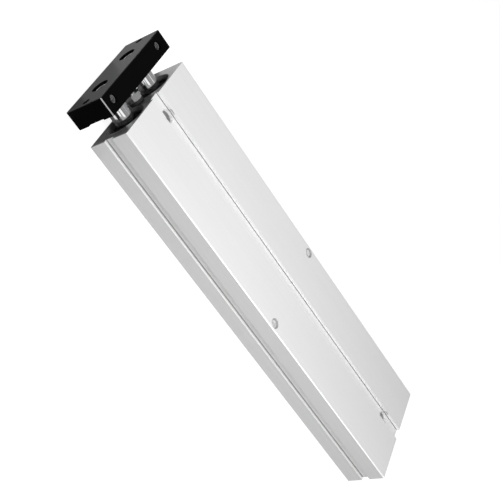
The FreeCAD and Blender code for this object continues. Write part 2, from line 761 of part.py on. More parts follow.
def make_stop_bolt():
    """Makes the adjustable stop: bolt, lock nut against the plate, and soft pad on its head."""
    bolt = new_body("stop_bolt")
    head = new_sketch(bolt, "YZ_Plane", (0, 0, ADJUSTER_FACE))
    draw_hexagon(head, size("adjuster_flats"))
    pad(bolt, head, size("adjuster_head_height"))
    break_hexagon(bolt, size("adjuster_flats"), ADJUSTER_FACE, 1)
    shank = new_sketch(bolt, "XY_Plane")
    shank_r = ADJUSTER_R - size("running_clearance")
    tip = size("tip_chamfer")
    draw_outline(shank, [(ADJUSTER_SHOULDER, 0), (ADJUSTER_SHOULDER, shank_r),
                         (ADJUSTER_TIP - tip, shank_r), (ADJUSTER_TIP, shank_r - tip),
                         (ADJUSTER_TIP, 0)])
    turn(bolt, shank)
    stem = new_sketch(bolt, "YZ_Plane", (0, 0, ADJUSTER_FACE))
    draw_circle(stem, 0, 0, size("pad_stem_diameter") / 2 + size("running_clearance"))
    pocket(bolt, stem, size("pad_stem_length") + size("side_clearance"), reversed_way=True)

    nut = new_body("stop_lock_nut")
    ring = new_sketch(nut, "YZ_Plane", (0, 0, CHANNEL_FLOOR))
    draw_hexagon(ring, size("lock_nut_flats"))
    draw_circle(ring, 0, 0, ADJUSTER_R)
    pad(nut, ring, size("lock_nut_height"), reversed_way=True)
    break_hexagon(nut, size("lock_nut_flats"), LOCK_NUT_BACK, 1)

    pad_r = size("pad_diameter") / 2
    stem_r = size("pad_stem_diameter") / 2
    stem_end = ADJUSTER_FACE + size("pad_stem_length")
    crown = size("edge_break")
    face = size("pad_clearance")
    turned_piece("stop_pad", [(face, 0), (face, pad_r - crown), (face + crown, pad_r),
                              (ADJUSTER_FACE, pad_r), (ADJUSTER_FACE, stem_r), (stem_end, stem_r),
                              (stem_end, 0)])


make_housing()
make_rod_covers()
make_head_covers()
make_o_rings("rod_cover_o_rings", ROD_COVER_SHOULDER, 1)
make_o_rings("head_cover_o_rings", HEAD_COVER_SHOULDER, -1)
make_rod_seals()
make_rod_bushes()
make_retaining_rings("front_retaining_rings", -COVER_DEPTH, False)
make_retaining_rings("rear_retaining_rings", -HEAD_COVER_BACK, True)
make_piston_rods()
make_pistons()
make_piston_nuts()
make_bumpers()
make_front_plate()
make_plate_screws()
make_stop_bolt()
doc.recompute()

failed = [item.Name for item in doc.Objects if {"Invalid", "Error"} & set(item.State)]
if failed:
    raise RuntimeError("these features failed: " + ", ".join(failed))
for body in bodies:
    if body.Shape.isNull() or not body.Shape.isValid():
        raise RuntimeError(f"{body.Label} has no valid shape")

os.makedirs("parts", exist_ok=True)
for body in bodies:
    body.Shape.exportStep(f"parts/{body.Label}.step")
    solids = len(body.Shape.Solids)
    print(f"{body.Label}: {solids} solid(s), {body.Shape.Volume:.0f} cubic mm")
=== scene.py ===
"""Finishes a twin-rod pneumatic cylinder for the eye.

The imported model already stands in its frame, in metres: X runs along the rods and out of the housing,
Z is up, and the cylinder lies on the floor at z = 0. This script gives every piece its surface, winds the
threads that the solids leave plain, makes the stop bolt anew with its rolled thread, and sets up a pale
studio with the camera.
"""

import json
import logging
import math
from dataclasses import dataclass
from enum import Enum
from typing import Optional, Union

import bpy
from mathutils import Matrix, Vector


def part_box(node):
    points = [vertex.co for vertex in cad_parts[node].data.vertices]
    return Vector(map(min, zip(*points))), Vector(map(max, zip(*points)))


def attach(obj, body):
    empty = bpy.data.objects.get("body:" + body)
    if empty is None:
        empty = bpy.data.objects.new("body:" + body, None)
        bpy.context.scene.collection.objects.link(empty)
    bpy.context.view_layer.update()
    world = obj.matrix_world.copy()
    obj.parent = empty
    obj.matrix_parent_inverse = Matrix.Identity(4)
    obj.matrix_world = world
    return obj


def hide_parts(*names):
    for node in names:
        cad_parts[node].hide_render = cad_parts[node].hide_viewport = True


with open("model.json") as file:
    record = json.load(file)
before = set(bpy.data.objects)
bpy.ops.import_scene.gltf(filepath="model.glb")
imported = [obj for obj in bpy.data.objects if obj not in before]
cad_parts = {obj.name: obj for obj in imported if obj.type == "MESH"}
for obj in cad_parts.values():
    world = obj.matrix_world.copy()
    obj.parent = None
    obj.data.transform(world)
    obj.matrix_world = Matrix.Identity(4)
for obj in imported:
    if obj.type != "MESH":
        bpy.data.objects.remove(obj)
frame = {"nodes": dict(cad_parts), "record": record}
LOG = logging.getLogger("twin_rod_cylinder")

MM = 0.001
# The studio: the sensor's width in millimetres, and how far the floor lies under the part
SENSOR = 36.0
FLOOR_DROP = 0.1 * MM
# Threads: a ridge's width and depth as shares of the pitch, its steps per turn, the gap that is welded,
# and how far its foot is sunk into a hole's wall or into a shank
RIDGE_SHARE = 0.92
ROLLED_DEPTH = 0.54
RIDGE_STEPS = 40
WELD = 0.001 * MM
CORE_SINK = 0.02 * MM
SINK = 0.03 * MM
# The finishes: how far a painted shade, light or highlight covers its mask, or how bare the metal is there
FLOOR_LIGHT_SHARE = 0.6
END_SHADE_SHARE = 0.8
LIP_HIGHLIGHT_SHARE = 0.4
RIM_SHADE_SHARE = 0.75
DEEP_SHADE_SHARE = 0.6
BORE_SHADE_SHARE = 0.75
END_SHINE = 0.92
LIP_SHINE = 0.6
# How much smoother bare metal is, and the roughness of the plate's sealed front
POLISH = 0.18
COAT_ROUGHNESS = 0.42
Colour = tuple[float, float, float]
Place = tuple[float, float, float]
Operand = Union["Signal", float]
Given = Union["Signal", float, tuple]


class Slot(Enum):
    """The record's material slots."""

    HOUSING = "housing_aluminium"
    COVER = "cover_aluminium"
    PLATE = "plate_black"
    ROD = "rod_chrome"
    FASTENER = "fastener_steel"
    SCREW = "screw_black"
    SPRING = "spring_steel"
    SEAL = "seal_rubber"
    BUSH = "bush_bronze"
    BUMPER = "bumper_urethane"
    RING = "ring_polymer"
    MAGNET = "magnet_ferrite"


class Body(Enum):
    """The moving bodies that new pieces ride on."""

    HOUSING = "housing_body"
    CARRIAGE = "rod_carriage"
    STOP_BOLT = "stop_bolt_body"


class Facing(Enum):
    """The direction that a piece made along Z is turned to."""

    FRONT = (1.0, 0.0, 0.0)
    RIGHT = (0.0, -1.0, 0.0)
    UP = (0.0, 0.0, 1.0)

    def turn(self) -> Matrix:
        """Gives the rotation from Z to this direction."""
        return Vector((0.0, 0.0, 1.0)).rotation_difference(Vector(self.value)).to_matrix().to_4x4()


class Signal:
    """A shader value that takes part in Python arithmetic."""

    def __init__(self, graph: "Graph", socket: bpy.types.NodeSocket) -> None:
        """Keeps the socket, and the graph that its results are added to."""
        self.graph = graph
        self.socket = socket

    def __add__(self, other: Operand) -> "Signal":
        """Adds another value."""
        return self.graph.math("ADD", self, other)

    __radd__ = __add__

    def __sub__(self, other: Operand) -> "Signal":
        """Takes another value away."""
        return self.graph.math("SUBTRACT", self, other)

    def __rsub__(self, other: Operand) -> "Signal":
        """Takes this value away from another."""
        return self.graph.math("SUBTRACT", other, self)

    def __mul__(self, other: Operand) -> "Signal":
        """Multiplies by another value."""
        return self.graph.math("MULTIPLY", self, other)

    def __abs__(self) -> "Signal":
        """Drops the sign."""
        return self.graph.math("ABSOLUTE", self)

    def hypot(self, other: "Signal") -> "Signal":
        """Gives the length of two offsets at right angles."""
        return self.graph.math("SQRT", self * self + other * other)

    def at_least(self, *others: Operand) -> "Signal":
        """Takes the greatest of several values."""
        greatest = self
        for other in others:
            greatest = self.graph.math("MAXIMUM", greatest, other)
        return greatest

    def rises(self, at: float, start: float, stop: float) -> "Signal":
        """Rises from 0 to 1 between two distances from a level, in millimetres."""
        return self.graph.step(self, at + start * MM, at + stop * MM)

    def falls(self, at: float, start: float, stop: float) -> "Signal":
        """Falls from 1 to 0 between two distances from a level, in millimetres."""
        return 1.0 - self.rises(at, start, stop)


class Graph:
    """Adds nodes to one material or to the world."""

    def __init__(self, tree: bpy.types.NodeTree) -> None:
        """Starts with an empty tree."""
        self.tree = tree
        tree.nodes.clear()

    def fill(self, node: bpy.types.Node, inputs: dict) -> None:
        """Sets or links a node's sockets, given by name or number."""
        for name, given in inputs.items():
            if isinstance(given, Signal):
                self.tree.links.new(given.socket, node.inputs[name])
            else:
                node.inputs[name].default_value = given

    def node(self, kind: str, settings: Optional[dict] = None,
             inputs: Optional[dict] = None) -> bpy.types.Node:
        """Adds one node of a kind, sets its properties by name, then fills its sockets."""
        node = self.tree.nodes.new(kind)
        for name, setting in (settings or {}).items():
            setattr(node, name, setting)
        self.fill(node, inputs or {})
        return node

    def signal(self, kind: str, settings: Optional[dict] = None, inputs: Optional[dict] = None,
               output: Union[int, str] = 0) -> Signal:
        """Adds one node, as node does, and gives one of its outputs by name or number."""
        return Signal(self, self.node(kind, settings, inputs).outputs[output])

    def math(self, operation: str, *operands: Operand) -> Signal:
        """Adds one Math node for an operation on values."""
        return self.signal("ShaderNodeMath", {"operation": operation}, dict(enumerate(operands)))

    def mix(self, factor: Operand, first: Given, second: Given) -> Signal:
        """Blends two colours by a factor, through the Mix node's colour sockets."""
        return self.signal("ShaderNodeMix", {"data_type": "RGBA"}, {0: factor, 6: first, 7: second}, 2)

    def step(self, value: Signal, start: float, stop: float) -> Signal:
        """Rises smoothly from 0 at start to 1 at stop."""
        limits = {"Value": value, "From Min": start, "From Max": stop}
        return self.signal("ShaderNodeMapRange", {"interpolation_type": "SMOOTHSTEP"}, limits)


@dataclass(frozen=True)
class Stations:
    """Places that several pieces share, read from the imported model.

    Attributes:
        rod_face: The housing's rod-end face, along X.
        rear_face: The housing's rear face, along X.
        half_width: Half the housing's width.
        height: The housing's height.
        rod_y: The rods' distance from the middle plane.
        axis_z: The rods' height.
        plate_front: The front plate's outer face, along X.
        plate_half: Half the front plate's width.
        plate_top: The height of the front plate's upper long side.
        stop_face: The stop bolt's face under its pad, along X.
        stop_tip: The stop bolt's end inside the plate, along X.
    """

    rod_face: float
    rear_face: float
    half_width: float
    height: float
    rod_y: float
    axis_z: float
    plate_front: float
    plate_half: float
    plate_top: float
    stop_face: float
    stop_tip: float

    @classmethod
    def measured(cls) -> "Stations":
        """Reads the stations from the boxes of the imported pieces."""
        low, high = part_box("housing")
        rod_low, rod_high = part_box("piston_rod_left")
        plate_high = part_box("front_plate")[1]
        stop_low, stop_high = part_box("stop_bolt")
        return cls(high.x, low.x, high.y, high.z, (rod_low.y + rod_high.y) / 2, high.z / 2,
                   plate_high.x, plate_high.y, plate_high.z, stop_low.x, stop_high.x)


AT = Stations.measured()


def mount(name: str) -> tuple[Vector, dict]:
    """Finds a mount of the record: its place and its dimensions in millimetres."""
    found = next(mount for mount in frame["record"]["mounts"] if mount["name"] == name)
    return Vector(found["pos_m"]), found["dims"]


def new_material(name: str) -> tuple[bpy.types.Material, Graph]:
    """Adds a material with an empty graph."""
    material = bpy.data.materials.new(name)
    material.use_nodes = True
    return material, Graph(material.node_tree)


class Surface:
    """A material under construction: its principled shader and the patterns that feed it."""

    def __init__(self, name: str) -> None:
        """Adds a material whose patterns read the piece's own coordinates."""
        self.material, self.graph = new_material(name)
        self.shader = self.graph.node("ShaderNodeBsdfPrincipled")
        shaded = Signal(self.graph, self.shader.outputs["BSDF"])
        self.graph.node("ShaderNodeOutputMaterial", inputs={"Surface": shaded})
        self.place = self.graph.signal("ShaderNodeTexCoord", output="Object")
        parts = self.graph.node("ShaderNodeSeparateXYZ", inputs={"Vector": self.place})
        self.x, self.y, self.z = (Signal(self.graph, parts.outputs[axis]) for axis in "XYZ")

    def feed(self, **inputs: Given) -> None:
        """Sets or links the shader's sockets, named with underscores for spaces."""
        self.graph.fill(self.shader, {name.replace("_", " "): given for name, given in inputs.items()})

    def noise(self, spots: Union[float, Place], detail: float = 2.0) -> Signal:
        """Adds clouds near a half, of so many spots per metre, all round or along X, Y and Z."""
        scale = spots if isinstance(spots, tuple) else (spots, spots, spots)
        scaled = self.graph.signal("ShaderNodeMapping", inputs={"Vector": self.place, "Scale": scale})
        inputs = {"Vector": scaled, "Scale": 1.0, "Detail": detail}
        return self.graph.signal("ShaderNodeTexNoise", inputs=inputs)

    def lines(self, value: Signal, density: float) -> Signal:
        """Adds uneven lines along the levels of a value, about density of them per metre."""
        level = self.graph.signal("ShaderNodeCombineXYZ", inputs={"X": value * density})
        return self.graph.signal("ShaderNodeTexNoise", inputs={"Vector": level, "Scale": 1.0, "Detail": 3.0})

    def tinted(self, base: Colour, shade: Signal, depth: float) -> Signal:
        """Varies a colour's brightness about itself by a pattern that is centred on a half."""
        dark = tuple(channel * (1.0 - depth) for channel in base) + (1.0,)
        light = tuple(min(1.0, channel * (1.0 + depth)) for channel in base) + (1.0,)
        return self.graph.mix(shade, dark, light)

    def bump(self, height: Signal, depth: float, strength: float) -> None:
        """Raises the surface by a pattern, depth metres from its low to its high places."""
        inputs = {"Height": height, "Distance": depth, "Strength": strength}
        self.feed(Normal=self.graph.signal("ShaderNodeBump", inputs=inputs))

    def painted(self, under: Signal, mask: Signal, paint: Colour) -> Signal:
        """Covers a colour with another one where a mask says so."""
        return self.graph.mix(mask, under, paint + (1.0,))

    def rod_distance(self) -> Signal:
        """Measures the distance from the nearer rod's axis."""
        return (abs(self.y) - AT.rod_y).hypot(self.z - AT.axis_z)

    def hole_distance(self, name: str) -> Signal:
        """Measures the distance from the nearer axis of a mount's two upright holes."""
        middle, dims = mount(name)
        along = self.x - middle.x
        across = self.y
        if "spacing_x_mm" in dims:
            along = abs(along) - dims["spacing_x_mm"] * MM / 2
        else:
            across = abs(across) - dims["spacing_y_mm"] * MM / 2
        return along.hypot(across)

    def from_axis(self) -> Signal:
        """Measures the height above or below the rods' plane."""
        return abs(self.z - AT.axis_z)


@dataclass(frozen=True)
class Finish:
    """A surface finish.

    Attributes:
        slot: The record's slot that it fills.
        name: The material's name.
        colour: The main colour.
        roughness: The mean roughness.
    """

    slot: Slot
    name: str
    colour: Colour
    roughness: float

    def shade(self, surface: Surface) -> None:
        """Feeds the shader; each kind of finish says how."""
        raise NotImplementedError

    def material(self) -> bpy.types.Material:
        """Builds the finish's material."""
        surface = Surface(self.name)
        self.shade(surface)
        return surface.material


@dataclass(frozen=True)
class ClearAnodised(Finish):
    """Extruded aluminium, ground fine and clear anodised, with milled ends, painted highlights on its edges
    and walls, and painted shade on its ends, narrow faces and hollows.

    Attributes:
        edge_break: Width of the broken edges along the housing.
        painted_highlight_colour: Colour of the highlights painted on those edges, on the strips beside them
            and beside the upper slot, and on the walls of the lips and of the seats.
        edge_highlight_strip: Width of the painted highlight strip beside the left upper edge.
        floor_colour: Lighter colour painted on the wide slots' floors, to lift the shade that falls there.
        end_shade_colour: Colour of the painted shade laid evenly over the end faces.
        side_shade_colour: Darker copy of the colour, painted on the narrow faces as shade.
        painted_shade_colour: Colour of the painted shade deep in the seats, in the taps' mouths, under the
            slots' lips, in the narrow slot's corners and in the bores.
        metal: How much of the light comes off the metal, not off the milky layer.
        gloss: The shader's specular level.
        slot_half: Half the width of the wide faces' slots.
        slot_lip: Thickness of the lips over those slots.
        slot_depth: Depth of those slots.
        lip_break: Width of the painted highlight strips on the upper slot's lips.
        lip_drop: How far the right lip is rounded off.
        side_half: Half the width of the narrow face's slot.
        seat_r: Radius of the fixing screws' seats.
        seat_mouth: Depth of the seats' rounded mouths.
        seat_drop: How far those mouths are rounded off.
        bore_r: Radius within which the bores are painted dark: their dark hard anodising, deepened by painted
            shade.
    """

    edge_break: float = 0.6 * MM
    painted_highlight_colour: Colour = (0.97, 0.97, 0.97)
    edge_highlight_strip: float = 1.1 * MM
    floor_colour: Colour = (0.93, 0.93, 0.93)
    end_shade_colour: Colour = (0.45, 0.45, 0.45)
    side_shade_colour: Colour = (0.85, 0.85, 0.85)
    painted_shade_colour: Colour = (0.12, 0.12, 0.12)
    metal: float = 0.08
    gloss: float = 0.3
    slot_half: float = 5.0 * MM
    slot_lip: float = 2.1 * MM
    slot_depth: float = 3.0 * MM
    lip_break: float = 0.8 * MM
    lip_drop: float = 1.6 * MM
    side_half: float = 4.0 * MM
    seat_r: float = 5.5 * MM
    seat_mouth: float = 3.0 * MM
    seat_drop: float = 3.0 * MM
    bore_r: float = 16.9 * MM

    @property
    def floor(self) -> float:
        """Gives the distance of the wide slots' floors from the rods' plane."""
        return AT.axis_z - self.slot_depth

    def ends(self, surface: Surface) -> Signal:
        """Masks the two milled end faces."""
        middle = (AT.rod_face + AT.rear_face) / 2
        half_length = (AT.rod_face - AT.rear_face) / 2
        return abs(surface.x - middle).rises(half_length, -0.1, -0.05)

    def edges(self, surface: Surface) -> Signal:
        """Masks the broken upper edges along the housing, where a highlight is painted."""
        corner = AT.half_width + AT.axis_z - self.edge_break
        broken = (abs(surface.y) + surface.from_axis()).rises(corner, -0.08, 0.02)
        return broken * surface.z.rises(AT.axis_z, 0.0, 1.0)

    def strips(self, surface: Surface) -> Signal:
        """Masks the painted highlight strips of the upper wide face, beside its left edge and its slot."""
        edge = surface.y.rises(AT.half_width - self.edge_highlight_strip, -0.1, 0.1)
        slot = abs(surface.y).falls(self.slot_half + self.lip_break, -0.1, 0.1)
        return edge.at_least(slot) * surface.z.rises(AT.height, -0.05, -0.02)

    def floors(self, surface: Surface) -> Signal:
        """Masks the floors of the wide slots, where painted light lifts the shade."""
        inside = abs(surface.y).falls(self.slot_half, 0.8, 0.9)
        return inside * abs(surface.from_axis() - self.floor).falls(0.0, 0.05, 0.1)

    def lips(self, surface: Surface) -> Signal:
        """Masks the walls of the wide slots' lips."""
        beside = abs(abs(surface.y) - self.slot_half).falls(0.0, 0.05, 0.1)
        under = AT.axis_z - self.slot_lip
        return beside * surface.from_axis().rises(under, -0.05, 0.05)

    def lip_fall(self, surface: Surface) -> Signal:
        """Gives how far the upper slot's right lip falls towards its rounded edge, from 0 to 1."""
        face = surface.graph.step(surface.y, -self.slot_half - self.lip_break, -self.slot_half)
        wall = surface.graph.step(surface.z, AT.height - self.slot_lip, AT.height)
        fall = (face * self.strips(surface)).at_least(wall * self.lips(surface))
        return fall * surface.y.falls(0.0, 0.0, 1.0)

    def beyond_seats(self, surface: Surface) -> Signal:
        """Masks what lies outside the fixing screws' seats."""
        return surface.hole_distance("fixing_holes").rises(self.seat_r, 0.05, 0.1)

    def seats(self, surface: Surface) -> Signal:
        """Masks the depths of the fixing screws' seats and a thin line at their rims, for painted shade."""
        from_axis = surface.from_axis()
        inside = surface.hole_distance("fixing_holes").falls(self.seat_r, 0.0, 0.1)
        deep = from_axis.falls(self.floor, -3.4, -2.0)
        rim = from_axis.rises(AT.axis_z, -1.0, -0.8)
        return inside * deep.at_least(rim * RIM_SHADE_SHARE)

    def seat_wall_highlights(self, surface: Surface) -> Signal:
        """Masks the walls of the fixing screws' seats, where a highlight is painted."""
        below = surface.from_axis().falls(AT.axis_z, -0.9, -0.8)
        return (1.0 - self.beyond_seats(surface)) * below

    def seat_fall(self, surface: Surface) -> Signal:
        """Gives how far the seats' walls fall back towards their mouths, from 0 to 1."""
        fall = surface.graph.step(surface.from_axis(), self.floor - self.seat_mouth, self.floor)
        return fall * (1.0 - self.beyond_seats(surface))

    def taps(self, surface: Surface) -> Signal:
        """Masks the chamfered mouths of the edge taps, for painted shade."""
        core = mount("edge_taps")[1]["hole_r_mm"] * MM
        mouth = surface.hole_distance("edge_taps").falls(core, 0.9, 1.0)
        below = surface.z.falls(AT.height, -0.1, -0.05)
        return mouth * below * surface.z.rises(AT.height, -1.6, -1.2)

    def under_lips(self, surface: Surface) -> Signal:
        """Masks the room under the wide slots' lips, for a painted shadow."""
        across = abs(surface.y)
        from_axis = surface.from_axis()
        beside = across.rises(self.slot_half, 0.1, 0.4)
        beside = beside * across.falls(self.slot_half, 1.0, 1.2)
        above = from_axis.rises(self.floor, -0.05, 0.0)
        below = from_axis.falls(AT.axis_z, -0.3, -0.1)
        return beside * above * below * self.beyond_seats(surface)

    def narrow_corners(self, surface: Surface) -> Signal:
        """Masks the inner corners of the narrow face's slot, for a painted shadow line."""
        from_axis = surface.from_axis()
        floor = AT.half_width - self.slot_depth
        deep = surface.y.rises(floor, -0.2, -0.1)
        deep = deep * surface.y.falls(floor, 0.9, 1.0)
        wall = from_axis.rises(self.side_half, -1.0, -0.7)
        return deep * wall * from_axis.falls(self.side_half, 0.2, 0.4)

    def holes(self, surface: Surface) -> Signal:
        """Masks where shade is painted: deep in the seats, the taps' mouths, the slots' corners and the
        bores.
        """
        corners_of_slots = self.under_lips(surface).at_least(self.narrow_corners(surface))
        deep = self.seats(surface).at_least(self.taps(surface), corners_of_slots)
        bores = surface.rod_distance().falls(self.bore_r, 0.0, 0.1)
        return (deep * DEEP_SHADE_SHARE).at_least(bores * BORE_SHADE_SHARE)

    def shade(self, surface: Surface) -> None:
        """Draws the die lines along the extrusion, the fine grain and the milled ends, and paints shade on
        the ends, narrow faces and hollows, light on the slots' floors and highlights on edges and walls.
        """
        die_lines = surface.noise((5.0, 700.0, 700.0))
        grain = surface.noise(2600.0, 3.0)
        cloud = surface.noise((9.0, 22.0, 22.0))
        mill_lines = surface.noise((40.0, 60.0, 2400.0))
        ends = self.ends(surface)
        edges = self.edges(surface) * (1.0 - ends)
        lips = self.lips(surface)
        narrow = abs(surface.y).rises(AT.half_width, -0.4, -0.2)
        tone = die_lines * 0.4 + grain * 0.25 + cloud * 0.35
        tone = tone * (1.0 - ends) + mill_lines * ends
        colour = surface.tinted(self.colour, tone, 0.06)
        # Painted shade: the narrow faces get a darker copy of the colour.
        colour = surface.graph.mix(narrow, colour, surface.tinted(self.side_shade_colour, tone, 0.08))
        # Painted light lifts the shade on the wide slots' floors.
        colour = surface.painted(colour, self.floors(surface) * FLOOR_LIGHT_SHARE, self.floor_colour)
        # Painted shade: the end faces are darkened evenly.
        colour = surface.painted(colour, ends * END_SHADE_SHARE, self.end_shade_colour)
        # Painted highlights on the broken edges, the strips beside them and the slot, the lips' walls and the
        # seats' walls.
        painted_highlights = edges.at_least(self.strips(surface), lips * LIP_HIGHLIGHT_SHARE, self.seat_wall_highlights(surface))
        colour = surface.painted(colour, painted_highlights, self.painted_highlight_colour)
        # Painted shade in the seats, the taps' mouths, the slots' corners and the bores.
        colour = surface.painted(colour, self.holes(surface), self.painted_shade_colour)
        bright = edges.at_least(ends * END_SHINE, lips * LIP_SHINE)
        roughness = self.roughness + (grain - 0.5) * 0.14 + (die_lines - 0.5) * 0.10 - bright * POLISH
        surface.feed(Base_Color=colour, Roughness=roughness, Metallic=bright.at_least(self.metal),
                     Specular_IOR_Level=self.gloss)
        relief = 0.02 * MM
        height = grain * 0.5 + die_lines * 0.3 + mill_lines * ends
        fall = self.lip_fall(surface) * self.lip_drop + self.seat_fall(surface) * self.seat_drop
        surface.bump(height - fall * (1.0 / relief), relief, 0.5)


@dataclass(frozen=True)
class TurnedAluminium(Finish):
    """Turned aluminium with the tool's fine rings round each rod's axis."""

    def shade(self, surface: Surface) -> None:
        """Draws the turning rings and a soft mottle."""
        rings = surface.lines(surface.rod_distance(), 2400.0)
        along = surface.lines(surface.x, 1800.0)
        mottle = surface.noise(150.0)
        tone = rings * 0.5 + along * 0.25 + mottle * 0.25
        surface.feed(Base_Color=surface.tinted(self.colour, tone, 0.12), Metallic=1.0,
                     Roughness=self.roughness + (rings - 0.5) * 0.2)
        surface.bump(rings * 0.6 + along * 0.4, 0.01 * MM, 0.5)


@dataclass(frozen=True)
class BlackAnodised(Finish):
    """Milled aluminium, black anodised: matt sides, a finer front face, faint wear round it, bare thread
    crests and a highlight painted on the cut corners.

    Attributes:
        rim: Width of the broken edges round the front face.
        corner: Size of the cut corners.
        front_colour: Colour of the front face.
        wear_and_highlight_colour: Colour of the faint wear round the front face, of the threads' cut crests
            and of the highlight painted on the cut corners.
        gloss: The shader's specular level.
        front_coat: How strongly the front face's sealed layer shines.
    """

    rim: float = 0.4 * MM
    corner: float = 0.6 * MM
    front_colour: Colour = (0.012, 0.012, 0.0125)
    wear_and_highlight_colour: Colour = (0.5, 0.5, 0.51)
    gloss: float = 0.015
    front_coat: float = 0.62

    def crests(self, surface: Surface) -> Signal:
        """Masks the crests of the long side's threads, which the tap cuts to bare metal."""
        core = mount("plate_side_taps")[1]["hole_r_mm"] * MM
        return surface.hole_distance("plate_side_taps").falls(core, -0.3, -0.1)

    def wear_and_highlights(self, surface: Surface, cloud: Signal) -> Signal:
        """Masks faint wear round the front face and the bare crests, and the highlight painted strongly on
        the cut corners.
        """
        half_height = AT.plate_top - AT.axis_z
        across = abs(surface.y)
        from_axis = surface.from_axis()
        long_rim = AT.plate_front + half_height - self.rim
        short_rim = AT.plate_front + AT.plate_half - self.rim
        corners_at = AT.plate_half + half_height - self.corner
        rim = (surface.x + from_axis).rises(long_rim, -0.06, 0.0)
        rim = rim.at_least((surface.x + across).rises(short_rim, -0.06, 0.0))
        cut = (across + from_axis).rises(corners_at, -0.06, 0.0)
        return (rim * cloud * 0.15).at_least(cut * (cloud * 0.4 + 0.7), self.crests(surface) * 0.8)

    def shade(self, surface: Surface) -> None:
        """Draws the milling lines, the fine grain, the front face, the wear and the highlight painted on the
        cut corners.
        """
        grain = surface.noise(2200.0, 3.0)
        milling = surface.noise((900.0, 26.0, 900.0))
        cloud = surface.noise(40.0)
        front = surface.x.rises(AT.plate_front, -0.12, -0.02)
        tone = grain * 0.45 + milling * 0.35 + cloud * 0.2
        colour = surface.tinted(self.colour, tone, 0.5)
        colour = surface.graph.mix(front, colour, surface.tinted(self.front_colour, tone, 0.4))
        # Wear round the front and on the crests, and a painted highlight on the cut corners.
        colour = surface.painted(colour, self.wear_and_highlights(surface, cloud), self.wear_and_highlight_colour)
        surface.feed(Base_Color=colour, Roughness=self.roughness + (grain - 0.5) * 0.2 - front * 0.08,
                     Specular_IOR_Level=self.gloss, Coat_Weight=front * self.front_coat,
                     Coat_Roughness=COAT_ROUGHNESS)
        surface.bump(grain * 0.6 + milling * 0.4, 0.02 * MM, 0.5)


@dataclass(frozen=True)
class HardChrome(Finish):
    """Ground and hard-chromed steel with hair-fine grinding lines round the rod."""

    def shade(self, surface: Surface) -> None:
        """Draws the grinding lines and a faint cloud of handling."""
        grinding = surface.lines(surface.x, 3600.0)
        cloud = surface.noise((60.0, 120.0, 120.0))
        surface.feed(Base_Color=surface.tinted(self.colour, grinding * 0.5 + cloud * 0.5, 0.05), Metallic=1.0,
                     Roughness=self.roughness + (grinding - 0.5) * 0.05 + (cloud - 0.5) * 0.03)
        surface.bump(grinding, 0.002 * MM, 0.4)


@dataclass(frozen=True)
class FormedSteel(Finish):
    """Cold-formed steel with a thin plated or phosphated layer, slightly mottled.

    Attributes:
        mottle: How far the colour varies.
    """

    mottle: float = 0.18

    def shade(self, surface: Surface) -> None:
        """Draws the spangle of the layer and fine forming marks."""
        spangle = surface.noise(420.0, 4.0)
        marks = surface.noise((300.0, 3200.0, 3200.0))
        tone = spangle * 0.6 + marks * 0.4
        surface.feed(Base_Color=surface.tinted(self.colour, tone, self.mottle), Metallic=1.0,
                     Roughness=self.roughness + (spangle - 0.5) * 0.2)
        surface.bump(tone, 0.01 * MM, 0.4)


@dataclass(frozen=True)
class BlackOxide(Finish):
    """Blackened steel screws, with a light ring painted round the top of their heads as a highlight.

    Attributes:
        ring_r: Mean radius of the bright ring.
        ring_width: Width of the ring.
        highlight_ring_colour: Colour of the painted highlight ring.
    """

    ring_r: float = 5.2 * MM
    ring_width: float = 1.1 * MM
    highlight_ring_colour: Colour = (0.7, 0.7, 0.7)

    def shade(self, surface: Surface) -> None:
        """Draws the mottled black layer, the turning lines and the painted highlight ring."""
        mottle = surface.noise(500.0, 3.0)
        rings = surface.lines(surface.rod_distance(), 3000.0)
        beside = abs(surface.rod_distance() - self.ring_r) + mottle * 0.1 * MM
        half_width = self.ring_width / 2
        # Painted highlight: a light, nearly non-metallic ring round the top of the heads.
        bare = beside.falls(half_width, -0.05, 0.1)
        colour = surface.tinted(self.colour, mottle * 0.6 + rings * 0.4, 0.3)
        surface.feed(Base_Color=surface.painted(colour, bare, self.highlight_ring_colour), Metallic=1.0 - bare * 0.8,
                     Roughness=self.roughness + (mottle - 0.5) * 0.2)
        surface.bump(rings * 0.5 + mottle * 0.5, 0.01 * MM, 0.4)


@dataclass(frozen=True)
class Moulded(Finish):
    """Rubber, urethane or filled polymer from a mould: a dull skin with a soft grain.

    Attributes:
        grain: Spots of the skin per metre.
        depth: How far the colour varies.
        gloss: The shader's specular level.
    """

    grain: float = 1800.0
    depth: float = 0.15
    gloss: float = 0.4

    def shade(self, surface: Surface) -> None:
        """Draws the skin's grain and a slow change of tone."""
        skin = surface.noise(self.grain, 3.0)
        bloom = surface.noise(130.0)
        tone = skin * 0.5 + bloom * 0.5
        surface.feed(Base_Color=surface.tinted(self.colour, tone, self.depth), Specular_IOR_Level=self.gloss,
                     Roughness=self.roughness + (bloom - 0.5) * 0.2)
        surface.bump(skin, 0.02 * MM, 0.5)


@dataclass(frozen=True)
class SinteredBronze(Finish):
    """Porous bearing bronze with oil in its pores."""

    def shade(self, surface: Surface) -> None:
        """Draws the dark pores between the bronze grains."""
        pores = surface.graph.step(surface.noise(3200.0), 0.34, 0.52)
        surface.feed(Base_Color=surface.tinted(self.colour, pores, 0.35), Metallic=1.0,
                     Roughness=self.roughness + (0.5 - pores) * 0.2)
        surface.bump(pores, 0.03 * MM, 0.6)


